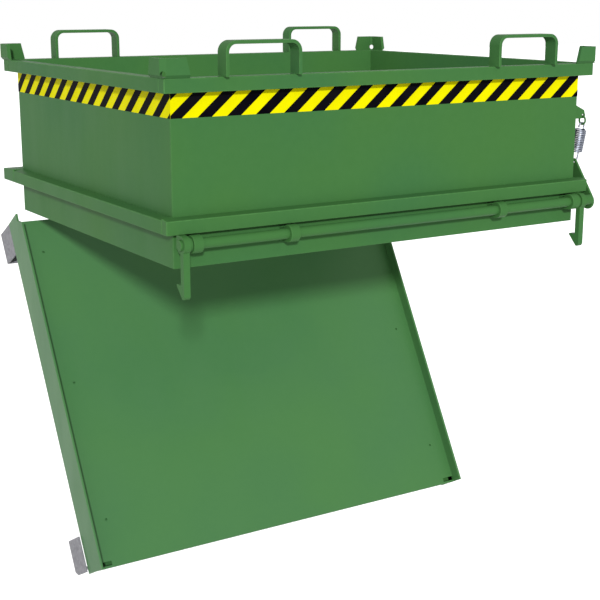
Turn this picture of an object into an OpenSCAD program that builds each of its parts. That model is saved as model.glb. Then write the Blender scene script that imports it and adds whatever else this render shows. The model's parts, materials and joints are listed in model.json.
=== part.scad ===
// Drop-bottom stacking container: an open sheet-steel box whose floor is a flap hinged at the rear.
// It is drawn hanging from its fork loops with the flap fully open and the latch at rest.
// Frame: +X to the right along the front, +Y to the back, +Z up, millimetres.
// Origin: centre of the four fork loops, level with the underside of their top bars.

/* [Box] */
// width of the box along the front wall
wall_w = 1200; // [900:10:1600]
// depth of the box from front wall to rear wall
wall_d = 955; // [700:5:1300]
// height of the walls, rim to skirt edge
wall_h = 422; // [350:1:700]
// wall sheet thickness
wall_t = 4; // [3:0.5:6]

/* [Rails] */
// height of the rim rail
rim_h = 32; // [20:1:50]
// how far the rim stands out at the front and sides
rim_out = 27; // [27:1:40]
// how far the rim stands out at the rear
rim_rear_out = 35; // [35:1:50]
// top of the base rail below the rim
base_z = 309; // [220:1:330]
// height of the base rail
base_h = 32; // [20:1:40]
// how far the base rail stands out at the front
base_out = 25; // [20:1:30]
// how far the base rail stands out at the sides
base_side_out = 28; // [20:1:30]
// how far the base rail stands out at the rear, over the hinges
base_rear_out = 82; // [80:1:120]
// how far the top of the base rail slopes up to the wall
base_rise = 4.5; // [0:0.5:8]
// thickness of the folded rails
rail_t = 4; // [3:0.5:5]

/* [Hazard tape] */
// height of the tape band
tape_h = 56; // [30:1:80]
// thickness of the yellow tape
tape_t = 0.4; // [0.3:0.1:1]
// pitch of the black stripes along the wall
stripe_pitch = 74.2; // [40:0.1:100]
// width of a black stripe along the wall
stripe_w = 35.5; // [20:0.5:50]
// sideways run of a stripe over the height of the tape
stripe_lean = 66; // [40:1:80]
// place of the first stripe's lower end on the front tape
stripe_front = -8; // [-60:1:60]
// place of the first stripe's lower end on the side tapes
stripe_side = 50; // [-60:1:60]

/* [Fork loops] */
// outer width of a loop
loop_w = 195; // [160:1:260]
// height of a loop above the rim
loop_h = 78; // [60:1:120]
// width of the flat bar
loop_bar = 40; // [25:1:60]
// thickness of the flat bar
loop_t = 8; // [6:0.5:12]
// outer bend radius of the bar
loop_r = 26; // [12:1:40]
// distance of a loop's centre from the middle of the box
loop_x = 386; // [250:1:440]
// how far a loop's centre line stands off the wall
loop_off = 23; // [20:1:24]
// bevel under the overhanging foot of a loop
loop_bevel = 12; // [2:1:14]

/* [Stacking corners] */
// height of a stacking corner above the rim
lug_h = 43; // [30:1:70]
// length of a wing along the rim
lug_l = 70; // [50:1:100]
// how far the sloping end of a wing leans back
lug_lean = 10; // [0:1:20]
// thickness of the plate
lug_t = 10; // [6:0.5:12]
// how far the plate stands beyond the rim
lug_over = 8; // [5:0.5:9]
// width of the flat across the fold
lug_flat = 15; // [10:1:25]
// diameter of the crane eye
eye_d = 14; // [8:0.5:20]
// height of the crane eye's centre above the rim
eye_z = 9; // [8:0.5:20]

/* [Latch] */
// shaft diameter
shaft_d = 25; // [20:1:30]
// distance of the shaft axis in front of the front wall
shaft_off = 36; // [28:1:45]
// distance of the shaft axis below the base rail
shaft_drop = 21; // [21:0.5:30]
// outer diameter of the bearing rings and hook bosses
ring_d = 41; // [36:0.5:42]
// width of a bearing ring
ring_w = 24; // [16:1:40]
// distance of the outer rings from the ends of the front wall
ring_end = 36; // [30:1:80]
// distance of the inner rings from the ends of the front wall
ring_in = 287; // [150:1:400]
// radial running clearance of the shaft in its rings
run_fit = 0.05; // [0.02:0.01:0.1]
// hook plate thickness
hook_t = 16; // [8:1:20]
// distance of the hooks from the ends of the front wall
hook_end = 0; // [0:1:6]
// distance of the blade's front face in front of the shaft axis
hook_front = 12; // [8:1:16]
// depth of the hook blade, front to back
hook_depth = 15; // [12:1:20]
// how far the hook nose reaches back from the blade
nose_l = 21; // [10:1:24]
// height of the hook nose
nose_h = 31; // [20:1:45]
// how far the shaft reaches beyond the left hook
shaft_over = 5; // [2:1:10]
// shaft stub diameter through the lever
stub_d = 16; // [12:1:24]
// release lever thickness
lever_t = 6; // [4:0.5:10]
// clearance between the base rail and the lever
lever_gap = 2; // [2:0.5:6]

/* [Spring] */
// outer diameter of the spring
spring_d = 33; // [20:0.5:36]
// wire diameter
spring_wire = 3.5; // [2:0.1:5]
// length of the upper hook, from the coil to the end of its eye
neck_top = 18; // [18:0.5:30]
// length of the lower hook, from the coil to the end of its eye
neck_low = 27; // [18:0.5:40]
// height of the link's centre below the rim
link_z = 153; // [130:1:180]
// outer diameter of the link
link_d = 27; // [24:1:34]
// wire diameter of the link
link_wire = 5; // [4:0.5:6]

/* [Floor flap] */
// how far the flap is swung open
open_deg = 60.5; // [0:0.5:61]
// clearance between the skirt edge and the closed floor plate
floor_gap = 2; // [1:0.5:6]
// floor plate thickness
floor_t = 5; // [3:0.5:8]
// how far the closed flap reaches in front of the front wall
flap_front = 22; // [16:1:26]
// height of the lips above the floor plate
lip_h = 34; // [15:1:40]
// clearance between wall and lip
lip_gap = 11; // [2:0.5:12]
// side plate thickness
side_t = 6; // [4:0.5:8]
// full height of the side plates
side_h = 107; // [90:1:130]
// depth of the front member, front to back
front_d = 40; // [30:1:60]
// height of the front member
front_h = 23; // [15:1:30]
// wall of the hollow members under the floor
tube_t = 3; // [2:0.5:5]
// width of a bearer
bearer_w = 52; // [40:1:80]
// distance of an outer bearer's centre from the wall
bearer_x = 46; // [34:1:60]
// length of a latch slot along the front edge, from the side plate
slot_l = 39; // [20:1:50]
// width of a latch slot
slot_w = 12; // [6:1:16]
// diameter of the drain holes in the floor plate
drain_d = 7; // [4:0.5:12]
// distance of the drain holes from the side walls
drain_x = 40; // [30:1:60]
// pitch of the drain holes
drain_pitch = 393; // [200:1:400]

/* [Hinges] */
// hinge axis behind the rear wall
hinge_y = 60; // [58:1:70]
// hinge axis below the skirt edge
hinge_z = 33; // [30:1:45]
// distance of a hinge from the ends of the box
hinge_x = 170; // [120:1:300]
// hinge pin diameter
pin_d = 20; // [16:1:24]
// ear plate thickness
ear_t = 8; // [6:1:12]
// width of the flap's hinge arm
arm_w = 24; // [16:1:30]
// side clearance of the arm between the ears
side_fit = 0.3; // [0.2:0.1:1]

/* [Feet] */
// clear height under the flap
foot_h = 89; // [60:1:120]
// length of a foot along the flap
foot_l = 100; // [60:1:140]
// length of a rear foot along the flap
foot_rear_l = 94; // [60:1:140]
// sheet thickness of the feet
foot_t = 5; // [4:0.5:8]
// how far a front foot stands outside the side plate
foot_out = 6; // [5.5:0.5:12]

/* [Hidden] */
$fn = 48;

GREEN = [0.25, 0.48, 0.25];
GREEN_FLAP = [0.28, 0.5, 0.28];
GALVANISED = [0.55, 0.54, 0.58];
STEEL = [0.42, 0.45, 0.5];
YELLOW = [0.95, 0.93, 0.05];
BLACK = [0.05, 0.05, 0.05];

fork_top = loop_h - loop_t;
shaft_y = -shaft_off;
shaft_z = -base_z - base_h - shaft_drop;
bottom_z = -wall_h;
floor_top = bottom_z - floor_gap;
lip_top = floor_top + lip_h;
side_bottom = lip_top - side_h;
flap_y0 = -flap_front;
hinge_py = wall_d + hinge_y;
hinge_pz = bottom_z - hinge_z;
plate_y1 = hinge_py - 23;
side_x = lip_gap + side_t;
member_x = lip_gap;
under = floor_top - floor_t;
nose_z = under - front_h - 1;
front_y1 = flap_y0 + front_d;
rear_y0 = wall_d - 5;
rear_y1 = hinge_py - pin_d - 5;
foot_z = side_bottom - foot_h;
lever_x = wall_w + base_side_out + lever_gap;
lever_top = [shaft_y + 69, shaft_z + 95];
lever_back = [shaft_y + 66, shaft_z + 55];
lever_top_r = 9;
lug_out = rim_out + lug_over;
lug_rear_out = rim_rear_out + lug_over;
eps = 0.01;

module frame() {
  translate([-wall_w / 2, -wall_d / 2, -fork_top]) children();
}

// the flap is drawn closed and swung down about its hinge axis
module flap() {
  frame() translate([0, hinge_py, hinge_pz]) rotate([open_deg, 0, 0])
    translate([0, -hinge_py, -hinge_pz]) children();
}

module box(x0, x1, y0, y1, z0, z1) {
  translate([x0, y0, z0]) cube([x1 - x0, y1 - y0, z1 - z0]);
}

// a profile drawn in the (Y, Z) plane, run along X from x0 to x1
module along_x(x0, x1) {
  translate([x0, 0, 0]) rotate([90, 0, 90]) linear_extrude(x1 - x0) children();
}

// a profile drawn in the (-X, Z) plane of an outward side, run along Y from y0 to y1
module along_y(y0, y1) {
  translate([0, y1, 0]) rotate([90, 0, 0]) linear_extrude(y1 - y0) children();
}

module rod_x(x0, x1, y, z, d) {
  translate([x0, y, z]) rotate([0, 90, 0]) cylinder(d = d, h = x1 - x0);
}

module mirrored_x() {
  children();
  translate([wall_w, 0, 0]) mirror([1, 0, 0]) children();
}

// outline of a folded rail, whose top may slope up to the wall
module rail_outline(out, h, rise)
  polygon([[-out, -h], [0, -h], [0, rise], [-out, 0]]);

// folded rail: top flange, outer leg and return flange, open towards the wall
module rail_profile(out, h, rise) {
  difference() {
    rail_outline(out, h, rise);
    polygon([[-out + rail_t, -h + rail_t], [1, -h + rail_t], [1, rise - rail_t], [-out + rail_t, -rail_t]]);
  }
}

module wall_front() color(GREEN) frame()
  box(0, wall_w, 0, wall_t, bottom_z, 0);

module wall_rear() color(GREEN) frame()
  box(0, wall_w, wall_d - wall_t, wall_d, bottom_z, 0);

module wall_left() color(GREEN) frame()
  box(0, wall_t, wall_t, wall_d - wall_t, bottom_z, 0);

module wall_right() color(GREEN) frame()
  box(wall_w - wall_t, wall_w, wall_t, wall_d - wall_t, bottom_z, 0);

// rail across the box, closed at both ends
module front_rail(out, side_out, h, rise) {
  along_x(-side_out, wall_w + side_out) rail_profile(out, h, rise);
  mirrored_x() along_x(-side_out, -side_out + rail_t) rail_outline(out, h, rise);
}

module rear_rail(out, side_out, h, rise)
  translate([0, wall_d, 0]) mirror([0, 1, 0]) front_rail(out, side_out, h, rise);

module side_rails(out, h, rise) mirrored_x() along_y(0, wall_d) rail_profile(out, h, rise);

module rim_front() color(GREEN) frame() front_rail(rim_out, rim_out, rim_h, 0);

module rim_rear() color(GREEN) frame() rear_rail(rim_rear_out, rim_out, rim_h, 0);

module rim_sides() color(GREEN) frame() side_rails(rim_out, rim_h, 0);

module base_rail_front() color(GREEN) frame()
  translate([0, 0, -base_z]) front_rail(base_out, base_side_out, base_h, base_rise);

module base_rail_rear() color(GREEN) frame()
  translate([0, 0, -base_z]) rear_rail(base_rear_out, base_side_out, base_h, base_rise);

module base_rail_sides() color(GREEN) frame()
  translate([0, 0, -base_z]) side_rails(base_side_out, base_h, base_rise);

// tape bands lie on the walls right under the rim
tape_z = -rim_h - tape_h;

module tape_yellow() color(YELLOW) frame() {
  box(0, wall_w, -tape_t, 0, tape_z, -rim_h);
  box(0, wall_w, wall_d, wall_d + tape_t, tape_z, -rim_h);
  mirrored_x() box(-tape_t, 0, 0, wall_d, tape_z, -rim_h);
}

// leaning stripes in the (along, up) plane, cut to the band
module stripes(len, first) {
  intersection() {
    square([len, tape_h]);
    for (i = [-2 : ceil(len / stripe_pitch) + 1])
      translate([first + i * stripe_pitch, 0])
        polygon([[0, 0], [stripe_w, 0], [stripe_w + stripe_lean, tape_h], [stripe_lean, tape_h]]);
  }
}

module stripe_band(len, first)
  translate([0, 0, tape_z]) rotate([90, 0, 0]) linear_extrude(tape_t) stripes(len, first);

module tape_black() color(BLACK) frame() {
  translate([0, -tape_t, 0]) stripe_band(wall_w, stripe_front);
  translate([wall_w, wall_d + tape_t, 0]) rotate([0, 0, 180]) stripe_band(wall_w, stripe_front);
  translate([-tape_t, wall_d, 0]) rotate([0, 0, -90]) stripe_band(wall_d, stripe_side);
  translate([wall_w + tape_t, 0, 0]) rotate([0, 0, 90]) stripe_band(wall_d, stripe_side);
}

// loop of flat bar bent to a flat U, standing on a rim; y runs away from the box
module fork_loop() {
  difference() {
    translate([0, loop_off + loop_bar / 2, 0]) rotate([90, 0, 0]) linear_extrude(loop_bar) difference() {
      loop_outline(loop_w, loop_h, loop_r);
      loop_outline(loop_w - 2 * loop_t, loop_h - loop_t, loop_r - loop_t);
    }
    translate([-loop_w, loop_off + loop_bar / 2, 0]) rotate([45, 0, 0])
      translate([0, -loop_bevel / sqrt(2), -loop_bevel])
        cube([2 * loop_w, 2 * loop_bevel, loop_bevel]);
  }
}

module loop_outline(w, h, r) {
  translate([-w / 2, 0]) square([w, h - r]);
  translate([-w / 2 + r, 0]) square([w - 2 * r, h]);
  for (s = [-1, 1]) translate([s * (w / 2 - r), h - r]) circle(r);
}

module front_loop(s) color(GREEN) frame()
  translate([wall_w / 2 + s * loop_x, 0, 0]) mirror([0, 1, 0]) fork_loop();

module rear_loop(s) color(GREEN) frame()
  translate([wall_w / 2 + s * loop_x, wall_d, 0]) fork_loop();

module fork_loop_front_left() front_loop(-1);

module fork_loop_front_right() front_loop(1);

module fork_loop_rear_left() rear_loop(-1);

module fork_loop_rear_right() rear_loop(1);

// stacking corner for the front left; ox and oy are how far it stands out along X and Y
module corner_lug(ox, oy) {
  c = lug_flat / sqrt(2);
  k = lug_t * (sqrt(2) - 1);
  difference() {
    translate([-ox, -oy, 0]) linear_extrude(lug_h) polygon([
      [c, 0], [lug_l, 0], [lug_l, lug_t], [c + k, lug_t],
      [lug_t, c + k], [lug_t, lug_l], [0, lug_l], [0, c]
    ]);
    translate([-ox + lug_l, -oy - 1, 0]) wing_cut();
    translate([-ox - 1, -oy + lug_l, 0]) mirror([1, -1, 0]) wing_cut();
    translate([-ox, -oy, 0]) under_bevel();
    translate([-ox, -oy, 0]) mirror([1, -1, 0]) under_bevel();
    translate([-ox + c / 2, -oy + c / 2, eye_z]) rotate([0, 0, 45]) rotate([0, 90, 0])
      translate([0, 0, -lug_t]) cylinder(d = eye_d, h = 3 * lug_t);
  }
}

// sloping end of a wing
module wing_cut() {
  translate([0, lug_t + 2, 0]) rotate([90, 0, 0]) linear_extrude(lug_t + 2)
    polygon([[0, 0], [1, 0], [1, lug_h + 1], [-lug_lean, lug_h + 1], [-lug_lean, lug_h]]);
}

// bevel along the lower outer edge, where the plate overhangs the rim
module under_bevel() {
  translate([-1, 0, 0]) rotate([90, 0, 90]) linear_extrude(lug_l + 2)
    polygon([[-1, -1], [lug_over - 1, -1], [lug_over - 1, 0], [0, lug_over - 1], [-1, lug_over - 1]]);
}

module corner_front_left() color(GREEN) frame() corner_lug(lug_out, lug_out);

module corner_front_right() color(GREEN) frame()
  translate([wall_w, 0, 0]) mirror([1, 0, 0]) corner_lug(lug_out, lug_out);

module corner_rear_left() color(GREEN) frame()
  translate([0, wall_d, 0]) mirror([0, 1, 0]) corner_lug(lug_out, lug_rear_out);

module corner_rear_right() color(GREEN) frame()
  translate([wall_w, wall_d, 0]) mirror([1, 0, 0]) mirror([0, 1, 0]) corner_lug(lug_out, lug_rear_out);

// bearing ring with a foot block back to the skirt
module shaft_ring() {
  difference() {
    union() {
      rod_x(-ring_w / 2, ring_w / 2, shaft_y, shaft_z, ring_d);
      box(-ring_w / 2, ring_w / 2, shaft_y, 0, shaft_z - ring_d / 2, shaft_z + ring_d / 4);
    }
    rod_x(-ring_w, ring_w, shaft_y, shaft_z, shaft_d + 2 * run_fit);
  }
}

module shaft_rings() color(GREEN) frame() mirrored_x()
  for (x = [ring_end, ring_in]) translate([x, 0, 0]) shaft_ring();

hook_x = [hook_end, wall_w - hook_end - hook_t];
blade_y = shaft_y - hook_front;
blade_back = blade_y + hook_depth;

// hook outline in the (Y, Z) plane, with a flat heel that stops under the base rail
module hook_outline() {
  difference() {
    union() {
      translate([shaft_y, shaft_z]) circle(d = ring_d);
      translate([shaft_y, shaft_z]) square([ring_d / 2, shaft_drop - side_fit]);
      translate([blade_y, nose_z - nose_h]) square([hook_depth, shaft_z - nose_z + nose_h]);
      polygon([
        [blade_back - 1, nose_z], [blade_back + nose_l, nose_z], [blade_back + nose_l, nose_z - 4],
        [blade_back - 5, nose_z - nose_h], [blade_back - 6, nose_z - nose_h]
      ]);
    }
    polygon([
      [blade_y - 1, nose_z - nose_h - 1], [blade_y - 1, nose_z - nose_h + 6], [blade_y, nose_z - nose_h + 6],
      [blade_y + 5, nose_z - nose_h], [blade_y + 5, nose_z - nose_h - 1]
    ]);
    polygon([
      [blade_back - 5, nose_z - nose_h - 1], [blade_back - 5, nose_z - nose_h], [blade_back + 1, nose_z - nose_h + 7],
      [blade_back + 1, nose_z - nose_h - 1]
    ]);
    translate([shaft_y, shaft_z]) circle(d = shaft_d);
  }
}

module latch_hooks() color(GREEN) frame()
  for (x = hook_x) along_x(x, x + hook_t) hook_outline();

module latch_shaft() color(GREEN) frame() {
  rod_x(hook_end - shaft_over, wall_w + 6, shaft_y, shaft_z, shaft_d);
  rod_x(wall_w + 6 - eps, lever_x + lever_t + 3, shaft_y, shaft_z, stub_d);
}

// collars between hooks and outer rings hold the shaft endwise, and a sleeve spaces the lever
module collar(x0, x1, bore, d) {
  difference() {
    rod_x(x0, x1, shaft_y, shaft_z, d);
    rod_x(x0 - 1, x1 + 1, shaft_y, shaft_z, bore);
  }
}

collar_gap = 0.5;

module shaft_collars() color(GREEN) frame() {
  mirrored_x()
    collar(hook_end + hook_t, ring_end - ring_w / 2 - collar_gap, shaft_d, shaft_d + 7);
  collar(wall_w + 6, lever_x, stub_d, stub_d + 12);
}

module release_lever() color(GREEN) frame() difference() {
  along_x(lever_x, lever_x + lever_t) hull() {
    translate([shaft_y + 10, shaft_z - 5]) circle(22, $fn = 64);
    for (corner = [lever_top, lever_back]) translate(corner) circle(lever_top_r, $fn = 32);
  }
  rod_x(lever_x - 1, lever_x + lever_t + 1, shaft_y, shaft_z, stub_d);
  rod_x(lever_x - 1, lever_x + lever_t + 1, lever_top[0], lever_top[1], 8);
}

// wire ring in the (Y, Z) plane
module ring_yz(x, y, z, d, wire) {
  translate([x, y, z]) rotate([0, 90, 0]) rotate_extrude()
    translate([(d - wire) / 2, 0]) circle(d = wire, $fn = 24);
}

spring_x = lever_x + lever_t / 2;
spring_top_y = lever_top[0] - 23;
anchor_t = 5;
anchor_hole = 9;
anchor_r = 7.5;
anchor_h = 36;
link_top = -link_z + link_d / 2 - link_wire / 2;
anchor_z = link_top - link_wire / 2 - 0.6 + anchor_hole / 2;

// upright tab on the right wall, rounded about the link's hole and sloping back to the wall above it
module spring_anchor() color(GREEN) frame() difference() {
  union() {
    translate([0, spring_top_y + anchor_t / 2, anchor_z - anchor_r]) rotate([90, 0, 0])
      linear_extrude(anchor_t) polygon([
        [wall_w, 0], [spring_x, 0], [spring_x + anchor_r, anchor_r], [spring_x + anchor_r - 4, anchor_h - 14],
        [wall_w + 6, anchor_h], [wall_w, anchor_h]
      ]);
    translate([spring_x, spring_top_y + anchor_t / 2, anchor_z]) rotate([90, 0, 0])
      cylinder(r = anchor_r, h = anchor_t);
  }
  translate([spring_x, spring_top_y + anchor_t, anchor_z]) rotate([90, 0, 0])
    cylinder(d = anchor_hole, h = 2 * anchor_t);
}

module spring_link() color(GREEN) frame()
  ring_yz(spring_x, spring_top_y, -link_z, link_d, link_wire);

// the spring hangs from the link and hooks into the lever's top hole
hook_r = 8;
hang = [spring_top_y, -link_z - link_d / 2 + link_wire + spring_wire / 2 + 0.3];
catch = [lever_top[0], lever_top[1] + 4 - spring_wire / 2 - 1];
spring_l = norm(hang - catch);
spring_tilt = atan2(catch[0] - hang[0], hang[1] - catch[1]);
spring_coil = spring_l - neck_top - neck_low;

module spring_eye(z) {
  translate([0, 0, z]) rotate([90, 0, 0]) rotate_extrude()
    translate([hook_r, 0]) circle(d = spring_wire, $fn = 24);
}

module spring() color(STEEL) frame() translate([spring_x, hang[0], hang[1]]) rotate([spring_tilt, 0, 0]) {
  spring_eye(-hook_r);
  spring_eye(-spring_l + hook_r);
  translate([0, 0, -neck_top - 1]) cylinder(d = spring_wire, h = neck_top - 2 * hook_r + 2, $fn = 24);
  translate([0, 0, -spring_l + 2 * hook_r - 1])
    cylinder(d = spring_wire, h = neck_low - 2 * hook_r + 2, $fn = 24);
  translate([0, 0, -neck_top]) rotate_extrude() spring_profile();
}

// close-wound coil: wire sections stacked on a thin core line
module spring_profile() {
  turns = floor(spring_coil / spring_wire);
  pitch = spring_coil / turns;
  for (i = [0 : turns - 1])
    translate([(spring_d - spring_wire) / 2, -(i + 0.5) * pitch]) circle(d = spring_wire + 0.1, $fn = 16);
  for (z = [0, -spring_coil + 2])
    translate([0, z - 2]) square([spring_d / 2 - spring_wire / 2, 2]);
}

ear_in = arm_w / 2 + side_fit;

// pair of ears under the rear base rail, carrying a hinge pin
module hinge_ears() color(GREEN) frame() difference() {
  mirrored_x() for (s = [-1, 1])
    translate([hinge_x + s * (ear_in + ear_t / 2), 0, 0]) along_x(-ear_t / 2, ear_t / 2) {
      translate([hinge_py, hinge_pz]) circle(18);
      translate([hinge_py - 18, hinge_pz]) square([36, -base_z - base_h - hinge_pz]);
    }
  rod_x(0, wall_w, hinge_py, hinge_pz, pin_d + 2 * run_fit);
}

module hinge_pins() color(STEEL) frame() mirrored_x() {
  rod_x(hinge_x - ear_in - ear_t - 6, hinge_x + ear_in + ear_t + 6, hinge_py, hinge_pz, pin_d);
  for (x = [hinge_x - ear_in - ear_t - 5, hinge_x + ear_in + ear_t])
    rod_x(x, x + 5, hinge_py, hinge_pz, pin_d + 10);
}

// stop bar between the ears, met by the finger on the hinge arm when the flap is fully open
stop_y = hinge_py - 3;
stop_z = hinge_pz + 22;
stop_s = 12;

module flap_stops() color(GREEN) frame() mirrored_x()
  box(hinge_x - ear_in, hinge_x + ear_in, stop_y - stop_s, stop_y, stop_z, stop_z + stop_s);

arm_r = 16;

module hinge_arms() color(GREEN_FLAP) difference() {
  union() {
    flap() mirrored_x() along_x(hinge_x - arm_w / 2, hinge_x + arm_w / 2) {
      translate([hinge_py, hinge_pz]) circle(arm_r);
      translate([0, hinge_pz]) polygon([[rear_y1, 14], [rear_y1, -25], [hinge_py, 1 - arm_r], [hinge_py, arm_r - 1]]);
    }
    frame() mirrored_x() box(
      hinge_x - arm_w / 2, hinge_x + arm_w / 2, stop_y + side_fit, stop_y + side_fit + 12,
      hinge_pz, stop_z + stop_s - 4
    );
  }
  frame() rod_x(0, wall_w, hinge_py, hinge_pz, pin_d + 2 * run_fit);
}

slot_y0 = flap_y0 + 6;
drains = [for (i = [0 : 2]) flap_y0 + 130 + i * drain_pitch];

module floor_plate() color(GREEN_FLAP) flap() difference() {
  box(-member_x, wall_w + member_x, flap_y0, plate_y1, under, floor_top);
  mirrored_x() {
    box(-member_x, slot_l - member_x, slot_y0, slot_y0 + slot_w, under - 1, floor_top + 1);
    for (y = drains) translate([drain_x, y, under - 1]) cylinder(d = drain_d, h = floor_t + 2);
  }
}

// side plate: lip above the floor, web below it, gusset behind
module side_plate() {
  along_x(-side_x, -lip_gap) polygon([
    [flap_y0, side_bottom], [flap_y0, lip_top], [hinge_py - 37, lip_top], [hinge_py - 19, floor_top + 2],
    [hinge_py + 2, floor_top + 3], [hinge_py - 1, side_bottom]
  ]);
}

module floor_side_left() color(GREEN_FLAP) flap() side_plate();

module floor_side_right() color(GREEN_FLAP) flap()
  translate([wall_w, 0, 0]) mirror([1, 0, 0]) side_plate();

module tube_profile(y0, y1, z0, z1) {
  difference() {
    translate([y0, z0]) square([y1 - y0, z1 - z0]);
    translate([y0 + tube_t, z0 + tube_t]) square([y1 - y0 - 2 * tube_t, z1 - z0 - 2 * tube_t]);
  }
}

module floor_front_member() color(GREEN_FLAP) flap() difference() {
  along_x(-member_x, wall_w + member_x) tube_profile(flap_y0, front_y1, under - front_h, under);
  mirrored_x()
    box(-member_x, slot_l - member_x, slot_y0, slot_y0 + slot_w, under - tube_t - 1, under + 1);
}

module floor_rear_member() color(GREEN_FLAP) flap()
  along_x(-member_x, wall_w + member_x) tube_profile(rear_y0, rear_y1, under - 60, under);

// top-hat bearers under the floor, open downwards
bearer_xs = [bearer_x, wall_w / 2, wall_w - bearer_x];
cross_y = (front_y1 + rear_y0) / 2;

module floor_bearers() color(GREEN_FLAP) flap() for (x = bearer_xs) difference() {
  box(x - bearer_w / 2, x + bearer_w / 2, front_y1, rear_y0, side_bottom, under);
  box(x - bearer_w / 2 + 4, x + bearer_w / 2 - 4, front_y1 - 1, rear_y0 + 1, side_bottom - 1, under - 4);
}

module floor_cross_member() color(GREEN_FLAP) flap()
  for (i = [0 : 1])
    along_x(bearer_xs[i] + bearer_w / 2, bearer_xs[i + 1] - bearer_w / 2)
      tube_profile(cross_y - 20, cross_y + 20, under - 40, under);

// front foot: outer web standing off the side plate, and a return across to the bearer
foot_y0 = flap_y0 + 7;
return_y0 = foot_y0 + 10;
return_y1 = return_y0 + foot_t;
foot_in = bearer_x + bearer_w / 2;

module front_foot() {
  difference() {
    box(-side_x - foot_out, -side_x - foot_out + foot_t, foot_y0, foot_y0 + foot_l, foot_z, side_bottom - 1);
    translate([0, 0, foot_z]) rotate([90, 0, 90]) translate([0, 0, -side_x - foot_out - 1])
      linear_extrude(foot_t + 2) polygon([[foot_y0 - 1, -1], [foot_y0 + 10, -1], [foot_y0 + 10, 0],
        [foot_y0, 18], [foot_y0 - 1, 18]]);
  }
  box(-side_x - foot_out + foot_t - eps, foot_in, return_y0, return_y1, foot_z, side_bottom - 1);
  box(-member_x, foot_in, return_y0, return_y1, side_bottom - 1 - eps, under - front_h);
  box(foot_in - foot_t, foot_in, return_y1, foot_y0 + foot_l, foot_z, side_bottom);
}

module front_feet() color(GALVANISED) flap() mirrored_x() front_foot();

// rear foot: channel along the flap, web outside, sole below, inner web under the bearer
rear_foot_y = hinge_py - 1;

module rear_foot() {
  y0 = rear_foot_y - foot_rear_l;
  box(-side_x, -side_x + foot_t, y0, rear_foot_y, foot_z, side_bottom);
  box(-side_x + foot_t - eps, foot_in, y0, rear_foot_y, foot_z, foot_z + foot_t);
  box(foot_in - foot_t, foot_in, y0, rear_y0, foot_z + foot_t - eps, side_bottom);
}

module rear_feet() color(GALVANISED) flap() mirrored_x() rear_foot();

// hexagon bolts through the inner webs of the feet
module foot_bolt(y, z) {
  translate([foot_in, y, z]) rotate([0, 90, 0]) cylinder(d = 18, h = 7, $fn = 6);
  translate([foot_in - foot_t - 9, y, z]) rotate([0, 90, 0]) cylinder(d = 18, h = 9, $fn = 6);
}

module foot_bolts() color(GALVANISED) flap() mirrored_x() {
  foot_bolt(foot_y0 + foot_l - 20, side_bottom - 18);
  foot_bolt(rear_y0 - 14, side_bottom - 18);
}

wall_front();
wall_rear();
wall_left();
wall_right();
rim_front();
rim_rear();
rim_sides();
base_rail_front();
base_rail_rear();
base_rail_sides();
tape_yellow();
tape_black();
fork_loop_front_left();
fork_loop_front_right();
fork_loop_rear_left();
fork_loop_rear_right();
corner_front_left();
corner_front_right();
corner_rear_left();
corner_rear_right();
shaft_rings();
spring_anchor();
spring_link();
spring();
hinge_ears();
hinge_pins();
flap_stops();
latch_shaft();
latch_hooks();
shaft_collars();
release_lever();
floor_plate();
floor_side_left();
floor_side_right();
floor_front_member();
floor_rear_member();
floor_bearers();
floor_cross_member();
hinge_arms();
front_feet();
rear_feet();
foot_bolts();
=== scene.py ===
"""Drop-bottom stacking container, held up by its fork loops with the floor flap hanging open."""
import json
import math

import bmesh
import bpy
import numpy as np
from mathutils import Matrix, Vector

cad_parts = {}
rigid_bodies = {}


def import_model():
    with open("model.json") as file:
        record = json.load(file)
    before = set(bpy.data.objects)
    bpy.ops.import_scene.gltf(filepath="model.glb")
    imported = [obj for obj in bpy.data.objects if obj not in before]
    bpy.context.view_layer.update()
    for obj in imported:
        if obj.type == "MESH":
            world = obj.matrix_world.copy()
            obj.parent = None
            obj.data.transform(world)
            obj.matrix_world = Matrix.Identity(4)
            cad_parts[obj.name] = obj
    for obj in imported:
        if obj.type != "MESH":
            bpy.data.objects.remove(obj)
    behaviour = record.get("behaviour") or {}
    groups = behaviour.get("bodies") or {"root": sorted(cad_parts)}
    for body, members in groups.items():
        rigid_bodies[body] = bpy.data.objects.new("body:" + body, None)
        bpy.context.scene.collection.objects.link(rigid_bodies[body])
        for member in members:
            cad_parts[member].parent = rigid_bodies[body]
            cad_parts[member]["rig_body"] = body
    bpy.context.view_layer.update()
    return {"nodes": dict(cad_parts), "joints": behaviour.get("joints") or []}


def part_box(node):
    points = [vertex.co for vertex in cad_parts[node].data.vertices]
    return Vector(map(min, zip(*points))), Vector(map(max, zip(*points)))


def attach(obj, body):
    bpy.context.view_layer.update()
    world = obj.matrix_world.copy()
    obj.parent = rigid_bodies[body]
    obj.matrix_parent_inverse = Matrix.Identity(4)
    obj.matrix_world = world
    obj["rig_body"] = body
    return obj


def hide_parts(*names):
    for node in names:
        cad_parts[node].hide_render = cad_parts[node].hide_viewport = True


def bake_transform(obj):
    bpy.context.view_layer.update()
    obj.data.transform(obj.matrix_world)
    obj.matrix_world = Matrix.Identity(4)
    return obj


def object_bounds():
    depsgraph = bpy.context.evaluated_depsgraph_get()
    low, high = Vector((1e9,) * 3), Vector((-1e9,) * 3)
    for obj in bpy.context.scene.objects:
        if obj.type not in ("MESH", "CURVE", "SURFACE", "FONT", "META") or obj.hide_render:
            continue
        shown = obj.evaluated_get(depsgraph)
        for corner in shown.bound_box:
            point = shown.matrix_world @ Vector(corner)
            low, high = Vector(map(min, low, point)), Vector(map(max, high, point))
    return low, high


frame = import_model()
scene = bpy.context.scene

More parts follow.
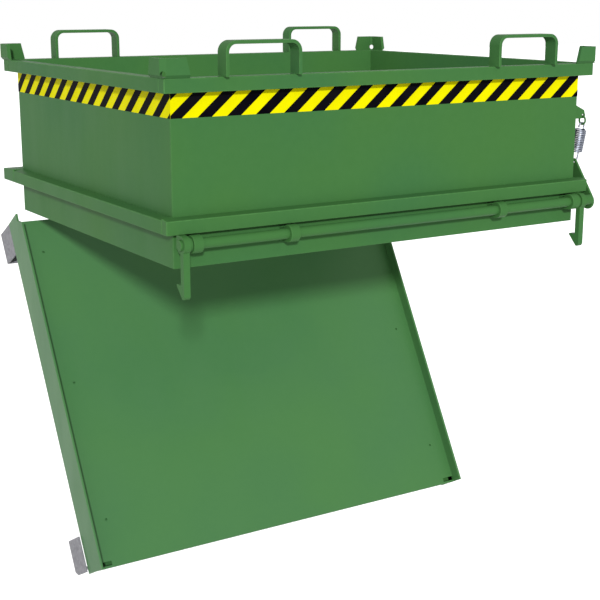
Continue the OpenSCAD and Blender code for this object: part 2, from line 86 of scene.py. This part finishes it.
# ---------------------------------------------------------------------------------------------
# Wall plates. Four cut sheets of 4 mm steel, welded at the corners into an open box with no
# floor, sprayed with semi-gloss green enamel, its edges painted paler as wear and painted highlight.

ENAMEL = (0.0255, 0.083, 0.0195, 1)
ENAMEL_COOL = (0.0215, 0.076, 0.0235, 1)
# Pale green for paint lying thin, also used as the painted highlight along the edges.
ENAMEL_PALE_THIN_AND_HIGHLIGHT = (0.042, 0.118, 0.034, 1)
ENAMEL_ROUGHNESS = 0.48
ENAMEL_SPECULAR = 0.06
SHEET_EDGE = 0.001
EDGE = "edge"
MERGE_DISTANCE = 2e-5
FLAT_ANGLE = math.radians(0.6)
SHARP_ANGLE = math.radians(35)


def blend_colour(nodes, links, factor, low, high):
    """Mix node of two colours, each a colour value or another node's output."""
    mix = nodes.new("ShaderNodeMix")
    mix.data_type = "RGBA"
    links.new(factor, mix.inputs["Factor"])
    for name, value in (("A", low), ("B", high)):
        socket = next(s for s in mix.inputs if s.name == name and s.type == "RGBA")
        if isinstance(value, tuple):
            socket.default_value = value
        else:
            links.new(value, socket)
    return next(s for s in mix.outputs if s.type == "RGBA")


def mapped(nodes, links, value, low, high, to_low=0.0, to_high=1.0):
    """Map Range node, clamped."""
    node = nodes.new("ShaderNodeMapRange")
    for name, number in (("From Min", low), ("From Max", high), ("To Min", to_low), ("To Max", to_high)):
        node.inputs[name].default_value = number
    links.new(value, node.inputs["Value"])
    return node.outputs["Result"]


def noise(nodes, links, scale, detail=3.0, roughness=0.5, stretch=None):
    """Noise on Object coordinates; stretch squeezes the pattern along an axis."""
    where = nodes.new("ShaderNodeTexCoord").outputs["Object"]
    if stretch:
        mapping = nodes.new("ShaderNodeMapping")
        mapping.inputs["Scale"].default_value = stretch
        links.new(where, mapping.inputs["Vector"])
        where = mapping.outputs["Vector"]
    node = nodes.new("ShaderNodeTexNoise")
    node.inputs["Scale"].default_value = scale
    node.inputs["Detail"].default_value = detail
    node.inputs["Roughness"].default_value = roughness
    links.new(where, node.inputs["Vector"])
    return node.outputs["Fac"]


def new_material(name):
    material = bpy.data.materials.new(name)
    material.use_nodes = True
    nodes, links = material.node_tree.nodes, material.node_tree.links
    return material, nodes, links, nodes["Principled BSDF"]


def bumps(nodes, links, shader, layers):
    """Chained Bump nodes; each layer is (height, distance in metres, strength)."""
    normal = None
    for height, distance, strength in layers:
        bump = nodes.new("ShaderNodeBump")
        bump.inputs["Distance"].default_value = distance
        bump.inputs["Strength"].default_value = strength
        links.new(height, bump.inputs["Height"])
        if normal:
            links.new(normal, bump.inputs["Normal"])
        normal = bump.outputs["Normal"]
    links.new(normal, shader.inputs["Normal"])


def enamel(name, roughness=ENAMEL_ROUGHNESS, wear_and_highlight=0.5, sheet_wave=0.25, warm=ENAMEL, cool=ENAMEL_COOL,
           specular=ENAMEL_SPECULAR):
    """Sprayed green: slow colour drift, orange peel, edges painted paler as wear and painted highlight,
    faint sheet waviness.
    """
    material, nodes, links, shader = new_material(name)
    drift = mapped(nodes, links, noise(nodes, links, 2.3, 2.0), 0.35, 0.65)
    colour = blend_colour(nodes, links, drift, warm, cool)
    mottle = mapped(nodes, links, noise(nodes, links, 60, 3.0), 0.3, 0.8, 0.0, 0.10)
    colour = blend_colour(nodes, links, mottle, colour, ENAMEL_PALE_THIN_AND_HIGHLIGHT)
    # Bevel faces are mixed towards the pale tone: partly paint worn thin, partly a painted highlight on the
    # edges.
    edge = nodes.new("ShaderNodeAttribute")
    edge.attribute_name = EDGE
    rub = mapped(nodes, links, noise(nodes, links, 90, 4.0, 0.6), 0.42, 0.62, 0.35, 1.0)
    edge_wear_and_highlight = nodes.new("ShaderNodeMath")
    edge_wear_and_highlight.operation = "MULTIPLY"
    links.new(edge.outputs["Fac"], edge_wear_and_highlight.inputs[0])
    links.new(rub, edge_wear_and_highlight.inputs[1])
    edge_wear_and_highlight_share = mapped(nodes, links, edge_wear_and_highlight.outputs[0], 0.0, 1.0, 0.0, wear_and_highlight)
    colour = blend_colour(nodes, links, edge_wear_and_highlight_share, colour, ENAMEL_PALE_THIN_AND_HIGHLIGHT)
    links.new(colour, shader.inputs["Base Color"])
    streaks = noise(nodes, links, 9, 4.0, 0.6, (1, 1, 0.25))
    links.new(mapped(nodes, links, streaks, 0.3, 0.7, roughness - 0.05, roughness + 0.06),
              shader.inputs["Roughness"])
    shader.inputs["Specular IOR Level"].default_value = specular
    peel = noise(nodes, links, 420, 2.0)
    wave = noise(nodes, links, 5.0, 1.0)
    bumps(nodes, links, shader, [(wave, 0.004, sheet_wave), (peel, 0.0003, 0.35)])
    return material


def finished_copy(source_object, name):
    """The evaluated object as one plain mesh, with its modifiers gone."""
    graph = bpy.context.evaluated_depsgraph_get()
    mesh = bpy.data.meshes.new_from_object(source_object.evaluated_get(graph), depsgraph=graph)
    mesh.name = name
    source_object.modifiers.clear()
    old = source_object.data
    source_object.data = mesh
    bpy.data.meshes.remove(old)
    return source_object


def mark_edges(mesh):
    """Writes 1 on the narrow faces that the rounding made, and 0 on the rest."""
    index = np.zeros(len(mesh.polygons), np.int32)
    mesh.polygons.foreach_get("material_index", index)
    attribute = mesh.attributes.new(EDGE, "FLOAT", "FACE")
    attribute.data.foreach_set("value", (index == 1).astype(np.float32))
    mesh.polygons.foreach_set("material_index", np.zeros(len(index), np.int32))


def rounded(node, material, width, segments=2):
    """A CAD node's own shape with its sharp edges broken by a small radius."""
    cad = frame["nodes"][node]
    name = node + "_made"
    mesh = cad.data.copy()
    mesh.materials.clear()
    build = bmesh.new()
    build.from_mesh(mesh)
    bmesh.ops.remove_doubles(build, verts=build.verts, dist=MERGE_DISTANCE)
    bmesh.ops.dissolve_limit(build, angle_limit=FLAT_ANGLE, verts=build.verts, edges=build.edges)
    build.to_mesh(mesh)
    build.free()
    piece = bpy.data.objects.new(name, mesh)
    scene.collection.objects.link(piece)
    mesh.materials.append(material)
    mesh.materials.append(material)
    for polygon in mesh.polygons:
        polygon.material_index = 0
        polygon.use_smooth = True
    bevel = piece.modifiers.new("edge radius", "BEVEL")
    bevel.width = width
    bevel.segments = segments
    bevel.limit_method = "ANGLE"
    bevel.angle_limit = SHARP_ANGLE
    bevel.use_clamp_overlap = True
    bevel.material = 1
    flat = piece.modifiers.new("flat faces stay flat", "WEIGHTED_NORMAL")
    flat.mode = "FACE_AREA"
    flat.weight = 100
    finished_copy(piece, name)
    mark_edges(piece.data)
    piece.data.materials.pop(index=1)
    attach(piece, cad["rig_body"])
    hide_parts(node)
    return piece


sheet_enamel = enamel("green_enamel_on_sheet")
for wall in ("wall_front", "wall_rear", "wall_left", "wall_right"):
    rounded(wall, sheet_enamel, SHEET_EDGE)

# ---------------------------------------------------------------------------------------------
# Rim and base rails. Folded 4 mm strips round the mouth and above the skirt, butted at the
# corners and welded all along; the wide one at the rear carries the hinges.

FOLD_RADIUS = 0.0022
rail_enamel = enamel("green_enamel_on_rails", wear_and_highlight=0.75, sheet_wave=0.12)
for rail in ("rim_front", "rim_rear", "rim_sides", "base_rail_front", "base_rail_rear", "base_rail_sides"):
    rounded(rail, rail_enamel, FOLD_RADIUS, 3)

# ---------------------------------------------------------------------------------------------
# Hazard tape. Printed satin film, yellow with leaning black bars, stuck round the box right
# under the rim and rubbed down by hand, so that it shows faint ripples.

FILM_SPECULAR = 0.01
FILM_YELLOW = (0.42, 0.395, 0.0, 1)
FILM_YELLOW_FADED = (0.38, 0.355, 0.0, 1)
FILM_BLACK = (0.0008, 0.0006, 0.0016, 1)
FILM_BLACK_FADED = (0.0028, 0.0025, 0.0036, 1)


def film(name, colour, faded, roughness, bloom):
    material, nodes, links, shader = new_material(name)
    fade = mapped(nodes, links, noise(nodes, links, 14, 4.0, 0.6), 0.35, 0.75)
    tone = blend_colour(nodes, links, fade, colour, faded)
    scratches = noise(nodes, links, 160, 5.0, 0.7, (0.2, 0.2, 1.0))
    scuff = mapped(nodes, links, scratches, 0.62, 0.8, 0.0, bloom)
    tone = blend_colour(nodes, links, scuff, tone, faded)
    links.new(tone, shader.inputs["Base Color"])
    shader.inputs["Specular IOR Level"].default_value = FILM_SPECULAR
    links.new(mapped(nodes, links, fade, 0.0, 1.0, roughness, roughness + 0.12), shader.inputs["Roughness"])
    ripple = noise(nodes, links, 36, 2.0, 0.5, (1, 1, 0.4))
    grain = noise(nodes, links, 900, 2.0)
    bumps(nodes, links, shader, [(ripple, 0.0012, 0.25), (grain, 0.00015, 0.3)])
    return material


tapes = {
    "tape_yellow": film("yellow_film", FILM_YELLOW, FILM_YELLOW_FADED, 0.42, 0.35),
    "tape_black": film("black_film", FILM_BLACK, FILM_BLACK_FADED, 0.38, 0.5),
}
for node, material in tapes.items():
    cad = frame["nodes"][node]
    cad.data.materials.clear()
    cad.data.materials.append(material)

# ---------------------------------------------------------------------------------------------
# Fork loops. Four lengths of 40 x 8 mm flat bar, bent to a flat U round a former and welded on
# the rims in line, for the tines of a forklift.

BAR_EDGE = 0.0011
bar_enamel = enamel("green_enamel_on_bar", wear_and_highlight=0.8, sheet_wave=0.05)
for end in ("front_left", "front_right", "rear_left", "rear_right"):
    rounded("fork_loop_" + end, bar_enamel, BAR_EDGE)

# ---------------------------------------------------------------------------------------------
# Stacking corners. Flame-cut 10 mm plate, folded across the corner and welded on the rim, with
# a crane eye through the flat and a bevel under the lip that seats over the box below.

PLATE_EDGE = 0.0009
for end in ("front_left", "front_right", "rear_left", "rear_right"):
    rounded("corner_" + end, bar_enamel, PLATE_EDGE)

# ---------------------------------------------------------------------------------------------
# Latch. A 25 mm bar in four welded rings, with a hook plate at each end, collars between the
# hooks and the outer rings, and the release lever on its right end; all painted with the box.

LATCH_EDGE = 0.0008
round_enamel = enamel("green_enamel_on_latch", roughness=0.42, wear_and_highlight=0.8, sheet_wave=0.05)
for part in ("shaft_rings", "latch_shaft", "latch_hooks", "shaft_collars", "release_lever"):
    rounded(part, round_enamel, LATCH_EDGE)

# ---------------------------------------------------------------------------------------------
# Spring set. A welded tab on the right wall holds a wire link; the zinc-plated extension spring
# hangs from it and its lower eye is caught in the lever.

TAB_EDGE = 0.0006
rounded("spring_anchor", round_enamel, TAB_EDGE)


def geometry_tree(name, sizes):
    """Empty Geometry Nodes tree with a mesh in, a mesh out and named sizes; also its input ids."""
    tree = bpy.data.node_groups.new(name, "GeometryNodeTree")
    tree.interface.new_socket("Geometry", in_out="INPUT", socket_type="NodeSocketGeometry")
    ids = {}
    for size, (kind, value) in sizes.items():
        socket = tree.interface.new_socket(size, in_out="INPUT", socket_type=kind)
        if value is not None:
            socket.default_value = value
        ids[size] = socket.identifier
    tree.interface.new_socket("Geometry", in_out="OUTPUT", socket_type="NodeSocketGeometry")
    return tree, ids


def path_object(name, paths, closed=False):
    """Line meshes through lists of points, one after another in one object."""
    points, edges = [], []
    for path in paths:
        first = len(points)
        points += [tuple(p) for p in path]
        edges += [(first + i, first + i + 1) for i in range(len(path) - 1)]
        if closed:
            edges.append((first + len(path) - 1, first))
    mesh = bpy.data.meshes.new(name)
    mesh.from_pydata(points, edges, [])
    piece = bpy.data.objects.new(name, mesh)
    scene.collection.objects.link(piece)
    return piece


def apply_tree(piece, tree, ids, values):
    modifier = piece.modifiers.new(tree.name, "NODES")
    modifier.node_group = tree
    for size, value in values.items():
        modifier[ids[size]] = value
    return finished_copy(piece, piece.name)


wire_tree, wire_ids = geometry_tree("wire along a line", {
    "Wire radius": ("NodeSocketFloat", 0.002),
    "Sides": ("NodeSocketInt", 12),
    "Finish": ("NodeSocketMaterial", None),
})
n, link = wire_tree.nodes, wire_tree.links.new
group_in, group_out = n.new("NodeGroupInput"), n.new("NodeGroupOutput")
to_curve, profile = n.new("GeometryNodeMeshToCurve"), n.new("GeometryNodeCurvePrimitiveCircle")
sweep, smooth = n.new("GeometryNodeCurveToMesh"), n.new("GeometryNodeSetShadeSmooth")
realize, finish = n.new("GeometryNodeRealizeInstances"), n.new("GeometryNodeSetMaterial")
link(group_in.outputs["Geometry"], to_curve.inputs["Mesh"])
link(group_in.outputs["Wire radius"], profile.inputs["Radius"])
link(group_in.outputs["Sides"], profile.inputs["Resolution"])
link(to_curve.outputs["Curve"], sweep.inputs["Curve"])
link(profile.outputs["Curve"], sweep.inputs["Profile Curve"])
sweep.inputs["Fill Caps"].default_value = True
link(sweep.outputs["Mesh"], smooth.inputs["Geometry"])
link(smooth.outputs["Geometry"], realize.inputs["Geometry"])
link(realize.outputs["Geometry"], finish.inputs["Geometry"])
link(group_in.outputs["Finish"], finish.inputs["Material"])
link(finish.outputs["Geometry"], group_out.inputs["Geometry"])

link_low, link_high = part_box("spring_link")
link_middle = (link_low + link_high) / 2
LINK_WIRE_R = (link_high.x - link_low.x) / 2
link_r = (link_high.z - link_low.z) / 2 - LINK_WIRE_R
LINK_STEPS = 40
ring_points = [link_middle + Vector((0, math.cos(a), math.sin(a))) * link_r
               for a in (2 * math.pi * i / LINK_STEPS for i in range(LINK_STEPS))]
spring_link = path_object("link_ring", [ring_points], closed=True)
apply_tree(spring_link, wire_tree, wire_ids,
           {"Wire radius": LINK_WIRE_R, "Sides": 14, "Finish": round_enamel})
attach(spring_link, "box")
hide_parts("spring_link")

SPRING_OUTER_R = 0.0165
SPRING_WIRE_R = 0.0020
NECK_TOP = 0.018
NECK_LOW = 0.027
SPRING_TURNS = 13
EYE_R = 0.009
HOOK_STEPS = 20
HOOK_SWEEP = 1.12
STEPS_PER_TURN = 28
LEAD_STEPS = STEPS_PER_TURN / 2
spring_low, spring_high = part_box("spring")


def plated(name, colour, dark, roughness):
    """Zinc plating: bluish bright metal with cloudy passivation and fine drawn lines."""
    material, nodes, links, shader = new_material(name)
    cloud = mapped(nodes, links, noise(nodes, links, 70, 4.0, 0.6), 0.35, 0.7)
    links.new(blend_colour(nodes, links, cloud, colour, dark), shader.inputs["Base Color"])
    shader.inputs["Metallic"].default_value = 1.0
    links.new(mapped(nodes, links, noise(nodes, links, 300, 3.0), 0.3, 0.7, roughness, roughness + 0.14),
              shader.inputs["Roughness"])
    bumps(nodes, links, shader, [(noise(nodes, links, 1500, 2.0), 0.00008, 0.4)])
    return material


ZINC = (0.27, 0.29, 0.345, 1)
ZINC_CLOUD = (0.12, 0.135, 0.175, 1)
zinc = plated("zinc_plated_spring_steel", ZINC, ZINC_CLOUD, 0.34)


def spring_path(top, bottom):
    """Centre line of the spring from its upper eye's top to its lower eye's foot."""
    axis = (bottom - top).normalized()
    across = Vector((1, 0, 0))
    side = axis.cross(across)
    length = (bottom - top).length
    coil_r = SPRING_OUTER_R - SPRING_WIRE_R
    coil_length = length - NECK_TOP - NECK_LOW
    points = []

    def at(x, y, z):
        points.append(top + across * x + side * y + axis * z)

    for i in range(HOOK_STEPS + 1):
        a = math.pi * (HOOK_SWEEP - HOOK_SWEEP * i / HOOK_STEPS)
        at(EYE_R * math.cos(a), 0, EYE_R - EYE_R * math.sin(a))
    steps = SPRING_TURNS * STEPS_PER_TURN
    for i in range(steps + 1):
        a = 2 * math.pi * SPRING_TURNS * i / steps
        lead = min(1.0, i / LEAD_STEPS, (steps - i) / LEAD_STEPS)
        r = EYE_R + (coil_r - EYE_R) * math.sin(lead * math.pi / 2)
        at(r * math.cos(a), r * math.sin(a), NECK_TOP + coil_length * i / steps)
    for i in range(HOOK_STEPS + 1):
        a = math.pi * HOOK_SWEEP * i / HOOK_STEPS
        at(EYE_R * math.cos(a), 0, length - EYE_R + EYE_R * math.sin(a))
    return points


spring_middle_x = (spring_low.x + spring_high.x) / 2
LEVER_TOP_R = 0.009
lever_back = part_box("release_lever")[1].y
spring_top = Vector((spring_middle_x, link_middle.y, spring_high.z - SPRING_WIRE_R))
spring_foot = Vector((spring_middle_x, lever_back - LEVER_TOP_R, spring_low.z + SPRING_WIRE_R))
spring = path_object("tension_spring", [spring_path(spring_top, spring_foot)])
apply_tree(spring, wire_tree, wire_ids, {"Wire radius": SPRING_WIRE_R, "Sides": 10, "Finish": zinc})
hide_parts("spring")
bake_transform(spring)

# ---------------------------------------------------------------------------------------------
# Hinges. Two pairs of flame-cut ears under the rear rail, each with a headed 20 mm pin through
# the flap's arm and a square stop bar that the arm's finger meets when the flap is fully open.

EAR_EDGE = 0.001
PIN_EDGE = 0.0009
PIN_ZINC = (0.30, 0.31, 0.33, 1)
PIN_ZINC_CLOUD = (0.17, 0.175, 0.19, 1)
for part in ("hinge_ears", "flap_stops", "hinge_arms"):
    rounded(part, bar_enamel, EAR_EDGE)
pin_steel = plated("zinc_plated_pins", PIN_ZINC, PIN_ZINC_CLOUD, 0.36)
rounded("hinge_pins", pin_steel, PIN_EDGE)

# ---------------------------------------------------------------------------------------------
# Floor flap. A plate between two side plates, stiffened below by box sections and by bearers
# of channel section; plate and side plates get a brighter copy of the enamel, as painted light.

# A brighter copy of the box's green enamel: painted light on the flap.
FLAP_GREEN_PAINTED_LIT = (0.0285, 0.0925, 0.0255, 1)
FLAP_GREEN_PAINTED_LIT_COOL = (0.0265, 0.0865, 0.0285, 1)
FLAP_EDGE = 0.0011
MEMBER_EDGE = 0.0016
flap_enamel_painted_lit = enamel("green_enamel_on_flap_painted_lit", 0.40, 0.7, 0.30, FLAP_GREEN_PAINTED_LIT, FLAP_GREEN_PAINTED_LIT_COOL, 0.18)
for part in ("floor_plate", "floor_side_left", "floor_side_right"):
    rounded(part, flap_enamel_painted_lit, FLAP_EDGE)
for part in ("floor_front_member", "floor_rear_member", "floor_bearers", "floor_cross_member"):
    rounded(part, rail_enamel, MEMBER_EDGE)

# ---------------------------------------------------------------------------------------------
# Welds. Short fillets where the loops, corners, rings, ears and spring tab stand on the box, and
# stitches between the bearers and the floor plate; a ripple shows for each drop, under the paint.

BEAD_RADIUS = 0.0022
BEAD_PITCH = 0.0016
STITCH = 0.06
STITCH_SPACING = 0.2

weld_tree, weld_ids = geometry_tree("weld bead along a line", {
    "Bead radius": ("NodeSocketFloat", BEAD_RADIUS),
    "Ripple pitch": ("NodeSocketFloat", BEAD_PITCH),
    "Unevenness": ("NodeSocketFloat", 0.16),
    "Seed": ("NodeSocketInt", 4),
    "Finish": ("NodeSocketMaterial", None),
})
n, link = weld_tree.nodes, weld_tree.links.new
group_in, group_out = n.new("NodeGroupInput"), n.new("NodeGroupOutput")
to_curve, resample = n.new("GeometryNodeMeshToCurve"), n.new("GeometryNodeResampleCurve")
least, most, drop = n.new("ShaderNodeMath"), n.new("ShaderNodeMath"), n.new("FunctionNodeRandomValue")
profile, sweep = n.new("GeometryNodeCurvePrimitiveCircle"), n.new("GeometryNodeCurveToMesh")
smooth, realize = n.new("GeometryNodeSetShadeSmooth"), n.new("GeometryNodeRealizeInstances")
finish = n.new("GeometryNodeSetMaterial")
resample.mode = "LENGTH"
least.operation, most.operation = "SUBTRACT", "ADD"
drop_low, drop_high = [i for i in drop.inputs if i.enabled and i.name in ("Min", "Max")]
link(group_in.outputs["Geometry"], to_curve.inputs["Mesh"])
link(to_curve.outputs["Curve"], resample.inputs["Curve"])
link(group_in.outputs["Ripple pitch"], resample.inputs["Length"])
for limit, socket in ((least, drop_low), (most, drop_high)):
    limit.inputs[0].default_value = 1.0
    link(group_in.outputs["Unevenness"], limit.inputs[1])
    link(limit.outputs["Value"], socket)
link(group_in.outputs["Seed"], drop.inputs["Seed"])
link(group_in.outputs["Bead radius"], profile.inputs["Radius"])
profile.inputs["Resolution"].default_value = 8
link(resample.outputs["Curve"], sweep.inputs["Curve"])
link(profile.outputs["Curve"], sweep.inputs["Profile Curve"])
link(next(o for o in drop.outputs if o.enabled), sweep.inputs["Scale"])
sweep.inputs["Fill Caps"].default_value = True
link(sweep.outputs["Mesh"], smooth.inputs["Geometry"])
link(smooth.outputs["Geometry"], realize.inputs["Geometry"])
link(realize.outputs["Geometry"], finish.inputs["Geometry"])
link(group_in.outputs["Finish"], finish.inputs["Material"])
link(finish.outputs["Geometry"], group_out.inputs["Geometry"])


def solid_boxes(node, turn=Matrix.Identity(4)):
    """Lowest and highest corner of each separate solid of a CAD node, after a turn."""
    build = bmesh.new()
    build.from_mesh(frame["nodes"][node].data)
    bmesh.ops.remove_doubles(build, verts=build.verts, dist=MERGE_DISTANCE)
    left, boxes = set(build.verts), []
    while left:
        group, front = set(), [left.pop()]
        while front:
            vertex = front.pop()
            group.add(vertex)
            near = {e.other_vert(vertex) for e in vertex.link_edges} & left
            left -= near
            front += near
        places = np.array([turn @ v.co for v in group])
        boxes.append((Vector(places.min(0)), Vector(places.max(0))))
    build.free()
    return sorted(boxes, key=lambda corner: tuple(corner[0]))


front_wall_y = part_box("wall_front")[0].y
right_wall_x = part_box("wall_right")[1].x
rim_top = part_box("rim_front")[1].z
LOOP_BAR_T = 0.008
CORNER_T = 0.010
INSET = 0.002
beads = []
for end in ("front_left", "front_right", "rear_left", "rear_right"):
    low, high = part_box("fork_loop_" + end)
    rim_low, rim_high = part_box("rim_" + end.split("_")[0])
    y0, y1 = max(low.y, rim_low.y) + INSET, min(high.y, rim_high.y) - INSET
    for x in (low.x, low.x + LOOP_BAR_T, high.x - LOOP_BAR_T, high.x):
        beads.append([(x, y0, rim_top), (x, y1, rim_top)])
    low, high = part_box("corner_" + end)
    x_out, x_end, sx = (low.x, high.x, 1) if "left" in end else (high.x, low.x, -1)
    y_out, y_end, sy = (low.y, high.y, 1) if "front" in end else (high.y, low.y, -1)
    x_in, y_in = x_out + sx * CORNER_T, y_out + sy * CORNER_T
    beads.append([(x_end - sx * INSET, y_in, rim_top), (x_in + sx * CORNER_T, y_in, rim_top),
                  (x_in, y_in + sy * CORNER_T, rim_top), (x_in, y_end - sy * INSET, rim_top)])
for low, high in solid_boxes("shaft_rings"):
    axis_z = (low.z + high.z) / 2
    foot_top = axis_z + (high.z - low.z) / 4
    for z in (low.z, foot_top):
        beads.append([(low.x, front_wall_y, z), (high.x, front_wall_y, z)])
for low, high in solid_boxes("hinge_ears"):
    for x in (low.x, high.x):
        beads.append([(x, low.y + INSET, high.z), (x, high.y - INSET, high.z)])
low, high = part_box("spring_anchor")
for y in (low.y, high.y):
    beads.append([(right_wall_x, y, low.z + INSET), (right_wall_x, y, high.z - INSET)])

flap_joint = next(j for j in frame["joints"] if j["name"] == "flap_hinge")
hinge = Matrix.Translation(Vector(flap_joint["pos_m"]))
opened = hinge @ Matrix.Rotation(-math.radians(min(flap_joint["range_deg"])), 4, "X") @ hinge.inverted()
stitches = []
for low, high in solid_boxes("floor_bearers", opened.inverted()):
    count = int((high.y - low.y) / STITCH_SPACING)
    for x in (low.x, high.x):
        for i in range(count):
            middle = low.y + (high.y - low.y) * (i + 0.5) / count
            stitches.append([opened @ Vector((x, middle + side * STITCH / 2, high.z)) for side in (-1, 1)])

weld_enamel = enamel("green_enamel_on_welds", roughness=0.5, wear_and_highlight=0.4, sheet_wave=0.0)
for name, paths, body in (("box_welds", beads, "box"), ("flap_welds", stitches, "flap")):
    welds = path_object(name, paths)
    apply_tree(welds, weld_tree, weld_ids, {"Finish": weld_enamel})
    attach(welds, body)

# ---------------------------------------------------------------------------------------------
# Feet. Bent sheet, hot-dip galvanised and bolted on after painting, so they stay grey, with a
# hexagon head and washer on one side and a nut and washer on the other.

SPANGLE_DARK = (0.088, 0.088, 0.099, 1)
SPANGLE_LIGHT = (0.122, 0.121, 0.135, 1)
SPANGLE_CLOUD = (0.105, 0.106, 0.113, 1)
SPANGLES_PER_METRE = 110
FOOT_EDGE = 0.0012
BOLT_CORNER_R = 0.0088


def galvanised(name):
    material, nodes, links, shader = new_material(name)
    where = nodes.new("ShaderNodeTexCoord").outputs["Object"]
    cells = nodes.new("ShaderNodeTexVoronoi")
    cells.inputs["Scale"].default_value = SPANGLES_PER_METRE
    cells.inputs["Randomness"].default_value = 1.0
    links.new(where, cells.inputs["Vector"])
    tone = nodes.new("ShaderNodeSeparateColor")
    links.new(cells.outputs["Color"], tone.inputs["Color"])
    share = mapped(nodes, links, tone.outputs["Red"], 0.0, 1.0)
    spangle = blend_colour(nodes, links, share, SPANGLE_DARK, SPANGLE_LIGHT)
    cloud = mapped(nodes, links, noise(nodes, links, 18, 4.0, 0.6), 0.35, 0.75, 0.0, 0.5)
    links.new(blend_colour(nodes, links, cloud, spangle, SPANGLE_CLOUD), shader.inputs["Base Color"])
    shader.inputs["Metallic"].default_value = 0.2
    links.new(mapped(nodes, links, tone.outputs["Green"], 0.0, 1.0, 0.42, 0.62), shader.inputs["Roughness"])
    grain = noise(nodes, links, 500, 2.0)
    bumps(nodes, links, shader, [(cells.outputs["Distance"], 0.0006, 0.12), (grain, 0.0002, 0.3)])
    return material


zinc_dip = galvanised("hot_dip_galvanised_steel")
for part in ("front_feet", "rear_feet"):
    rounded(part, zinc_dip, FOOT_EDGE)

bolt_tree, bolt_ids = geometry_tree("hexagons on points", {
    "Corner radius": ("NodeSocketFloat", BOLT_CORNER_R),
    "Height": ("NodeSocketFloat", 0.007),
    "Washer radius": ("NodeSocketFloat", 0.0105),
    "Washer height": ("NodeSocketFloat", 0.002),
    "Finish": ("NodeSocketMaterial", None),
})
n, link = bolt_tree.nodes, bolt_tree.links.new
group_in, group_out = n.new("NodeGroupInput"), n.new("NodeGroupOutput")
hexagon, washer = n.new("GeometryNodeMeshCylinder"), n.new("GeometryNodeMeshCylinder")
join = n.new("GeometryNodeJoinGeometry")
hexagon.inputs["Vertices"].default_value = 6
washer.inputs["Vertices"].default_value = 28
to_points, place = n.new("GeometryNodeMeshToPoints"), n.new("GeometryNodeInstanceOnPoints")
realize, finish = n.new("GeometryNodeRealizeInstances"), n.new("GeometryNodeSetMaterial")
link(group_in.outputs["Geometry"], to_points.inputs["Mesh"])
link(group_in.outputs["Corner radius"], hexagon.inputs["Radius"])
link(group_in.outputs["Height"], hexagon.inputs["Depth"])
link(group_in.outputs["Washer radius"], washer.inputs["Radius"])
link(group_in.outputs["Washer height"], washer.inputs["Depth"])
link(hexagon.outputs["Mesh"], join.inputs["Geometry"])
link(washer.outputs["Mesh"], join.inputs["Geometry"])
link(to_points.outputs["Points"], place.inputs["Points"])
link(join.outputs["Geometry"], place.inputs["Instance"])
place.inputs["Rotation"].default_value = (0, math.pi / 2, 0)
link(place.outputs["Instances"], realize.inputs["Geometry"])
link(realize.outputs["Geometry"], finish.inputs["Geometry"])
link(group_in.outputs["Finish"], finish.inputs["Material"])
link(finish.outputs["Geometry"], group_out.inputs["Geometry"])


SAME_DEPTH = 0.0005
ends = solid_boxes("foot_bolts")
for name, pick in (("bolt_heads", min), ("bolt_nuts", max)):
    depth = pick(high.x - low.x for low, high in ends)
    middles = [(low + high) / 2 for low, high in ends if abs(high.x - low.x - depth) < SAME_DEPTH]
    bolts = path_object(name, [[middle] for middle in middles])
    apply_tree(bolts, bolt_tree, bolt_ids, {"Height": depth, "Finish": pin_steel})
    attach(bolts, "flap")
    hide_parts("foot_bolts")

# ---------------------------------------------------------------------------------------------
# Studio. A pale floor well below the hanging box, white surroundings, one soft key beside the
# camera and the camera itself.

FLOOR_DROP = 0.55
FLOOR_REACH = 40
KEY_DIRECTION = Vector((0.415, 0.790, -0.322))
KEY_STRENGTH = 5.0
KEY_ANGLE = math.radians(4.5)
CAMERA_PLACE = (-1.81638, -2.96163, 0.09991)
CAMERA_TURN = (math.radians(90 - 13.531), 0, math.radians(-31.928))
CAMERA_LENS = 75.623

floor_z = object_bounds()[0].z - FLOOR_DROP
floor_mesh = bpy.data.meshes.new("studio_floor")
floor_mesh.from_pydata([(x * FLOOR_REACH, y * FLOOR_REACH, floor_z)
                        for x, y in ((-1, -1), (1, -1), (1, 1), (-1, 1))], [], [(0, 1, 2, 3)])
studio_floor = bpy.data.objects.new("studio_floor", floor_mesh)
scene.collection.objects.link(studio_floor)
floor_finish, nodes, links, shader = new_material("pale_floor")
shader.inputs["Base Color"].default_value = (0.93, 0.93, 0.93, 1)
shader.inputs["Roughness"].default_value = 0.9
shader.inputs["Specular IOR Level"].default_value = 0.1
floor_mesh.materials.append(floor_finish)

world = bpy.data.worlds.new("white_room")
world.use_nodes = True
world.node_tree.nodes["Background"].inputs["Color"].default_value = (1, 1, 1, 1)
world.node_tree.nodes["Background"].inputs["Strength"].default_value = 1.0
scene.world = world

key = bpy.data.lights.new("key", "SUN")
key.energy = KEY_STRENGTH
key.angle = KEY_ANGLE
key_object = bpy.data.objects.new("key", key)
key_object.rotation_euler = KEY_DIRECTION.to_track_quat("-Z", "Y").to_euler()
scene.collection.objects.link(key_object)

camera = bpy.data.cameras.new("camera")
camera.lens = CAMERA_LENS
camera.sensor_width = 36
camera.clip_end = 100
camera_object = bpy.data.objects.new("camera", camera)
camera_object.location = CAMERA_PLACE
camera_object.rotation_euler = CAMERA_TURN
scene.collection.objects.link(camera_object)
scene.camera = camera_object
scene.view_settings.view_transform = "Standard"
